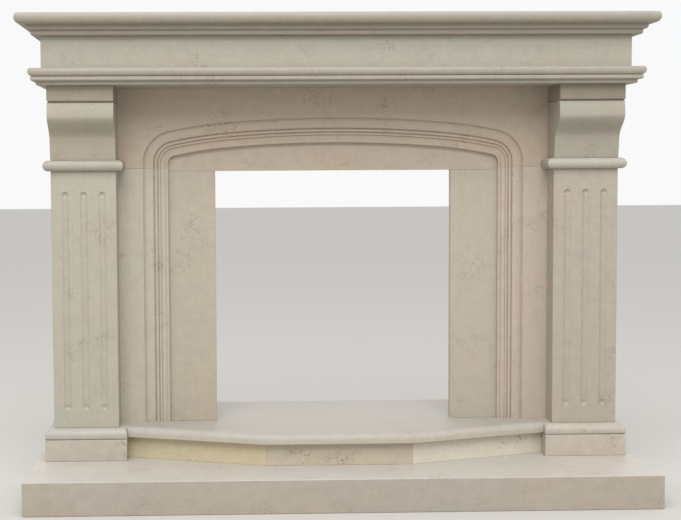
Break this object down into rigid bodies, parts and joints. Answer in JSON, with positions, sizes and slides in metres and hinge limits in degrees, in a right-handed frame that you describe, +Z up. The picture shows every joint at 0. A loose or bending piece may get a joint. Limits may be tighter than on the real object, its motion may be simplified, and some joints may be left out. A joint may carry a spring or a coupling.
{
  "type": "fireplace mantel",
  "caption": "Beige stone fireplace mantel: fluted pilasters with S-shaped corbels, arched frame around a fire opening, moulded frieze and shelf, raised canted hearth on a lower slab.",
  "frame": {"origin": "on the floor, at the middle of the bounding box's underside", "axes": "+X to the viewer's right, +Y back into the wall, +Z up; the front faces -Y"},
  "size_m": [1.724, 0.704, 1.314],
  "materials": {
    "honed_limestone": "honed beige limestone with fine veins",
    "polished_limestone": "polished beige limestone",
    "ochre_limestone": "honed, ochre-stained",
    "rose_limestone": "honed, pinkish beige",
    "pale_ochre_limestone": "honed, pale with yellow stains"
  },
  "bodies": {
    "root": {"lower_hearth_slab": "polished_limestone", "hearth_riser_left": "ochre_limestone", "hearth_riser_centre": "rose_limestone", "hearth_riser_right": "pale_ochre_limestone", "hearth_top": "polished_limestone", "plinth_block_left": "honed_limestone", "plinth_block_right": "honed_limestone", "base_moulding_left": "honed_limestone", "base_moulding_right": "honed_limestone", "shaft_left": "honed_limestone", "shaft_right": "honed_limestone", "neck_moulding_left": "honed_limestone", "neck_moulding_right": "honed_limestone", "corbel_left": "honed_limestone", "corbel_right": "honed_limestone", "corbel_cap_left": "honed_limestone", "corbel_cap_right": "honed_limestone", "jamb_left": "honed_limestone", "jamb_right": "honed_limestone", "arch_header": "honed_limestone", "slip_left": "honed_limestone", "slip_right": "honed_limestone", "slip_top": "honed_limestone", "architrave": "honed_limestone", "frieze": "honed_limestone", "mantel_shelf": "honed_limestone"}
  },
  "joints": []
}
